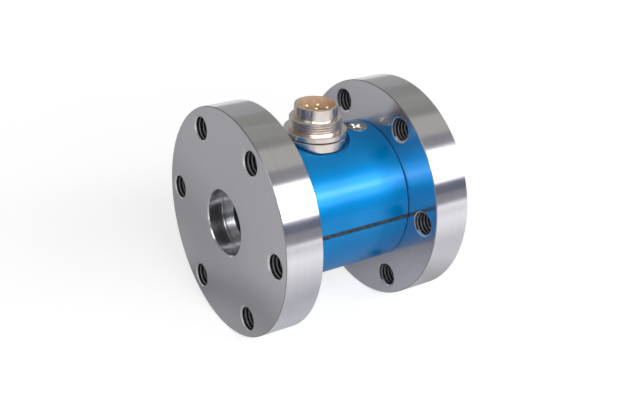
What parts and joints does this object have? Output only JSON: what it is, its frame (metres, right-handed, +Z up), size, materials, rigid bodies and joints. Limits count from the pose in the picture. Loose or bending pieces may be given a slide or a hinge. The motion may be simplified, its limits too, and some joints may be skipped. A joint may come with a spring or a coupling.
{
  "type": "torque sensor",
  "caption": "Static torque sensor with a bored, bolt-on flange at each end, blue half covers between them and a round threaded plug connector.",
  "frame": {"origin": "on the sensor's axis, midway between the two flange faces, which is also the centre of the whole part's box", "axes": "+X along the sensor's axis, from the near flange to the far one; +Z up through the connector; +Y to the rear, away from the seam that the picture shows"},
  "size_m": [0.064, 0.07, 0.07],
  "materials": {
    "turned_steel": "fine turned, satin faces and brighter rims",
    "blue_anodised_aluminium": "blue anodised, satin gloss",
    "dark_seal_rubber": "matt dark grey",
    "black_gasket_rubber": "matt black",
    "zinc_plated_steel": "bright zinc plated",
    "nickel_plated_brass": "nickel plated, satin gloss",
    "brown_insert_plastic": "moulded, brown",
    "gold_plated_brass": "gold plated, polished",
    "gauge_film": "amber film",
    "green_circuit_board": "coated board with tinned pads",
    "wire_insulation": "thin insulation"
  },
  "bodies": {
    "root": {"measuring_body": "turned_steel", "upper_cover": "blue_anodised_aluminium", "lower_cover": "blue_anodised_aluminium", "seam_strip_front": "dark_seal_rubber", "seam_strip_rear": "dark_seal_rubber", "cover_screw_top_far": "zinc_plated_steel", "cover_screw_top_near": "zinc_plated_steel", "cover_screw_bottom_far": "zinc_plated_steel", "cover_screw_bottom_near": "zinc_plated_steel", "base_gasket": "black_gasket_rubber", "connector_seat_ring": "nickel_plated_brass", "shell_seal": "black_gasket_rubber", "connector_shell": "nickel_plated_brass", "connector_insert": "brown_insert_plastic", "insert_retainer": "nickel_plated_brass", "contact_1": "gold_plated_brass", "contact_2": "gold_plated_brass", "contact_3": "gold_plated_brass", "contact_4": "gold_plated_brass", "contact_5": "gold_plated_brass", "contact_6": "gold_plated_brass", "contact_7": "gold_plated_brass", "lock_nut": "nickel_plated_brass", "strain_gauge_front": "gauge_film", "strain_gauge_rear": "gauge_film", "terminal_board": "green_circuit_board", "signal_wires": "wire_insulation", "gauge_wires": "wire_insulation"}
  },
  "joints": []
}
